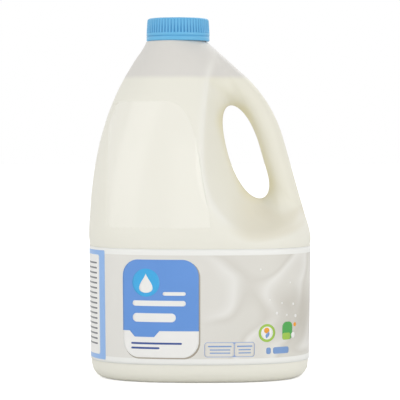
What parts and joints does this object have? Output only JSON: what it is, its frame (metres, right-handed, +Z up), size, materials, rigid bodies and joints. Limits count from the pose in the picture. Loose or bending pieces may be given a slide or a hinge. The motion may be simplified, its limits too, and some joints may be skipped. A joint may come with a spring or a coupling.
{
  "type": "milk jug",
  "caption": "Square-shouldered plastic milk jug with a hollow side handle, a ribbed screw cap and a printed sleeve, filled with milk to the shoulder.",
  "frame": {"origin": "middle of the footprint, on the surface that the jug stands on", "axes": "+Z up, +X towards the handle, Y across the parting plane"},
  "size_m": [0.1518, 0.105, 0.2441],
  "materials": {
    "bottle": "milky natural polyethylene, softly translucent, satin",
    "milk": "milk, opaque creamy white",
    "label": "printed film sleeve, pale grey with blue panels",
    "cap": "moulded light blue plastic, satin"
  },
  "bodies": {
    "root": {"bottle": "bottle", "milk": "milk", "label": "label", "cap": "cap"}
  },
  "joints": []
}
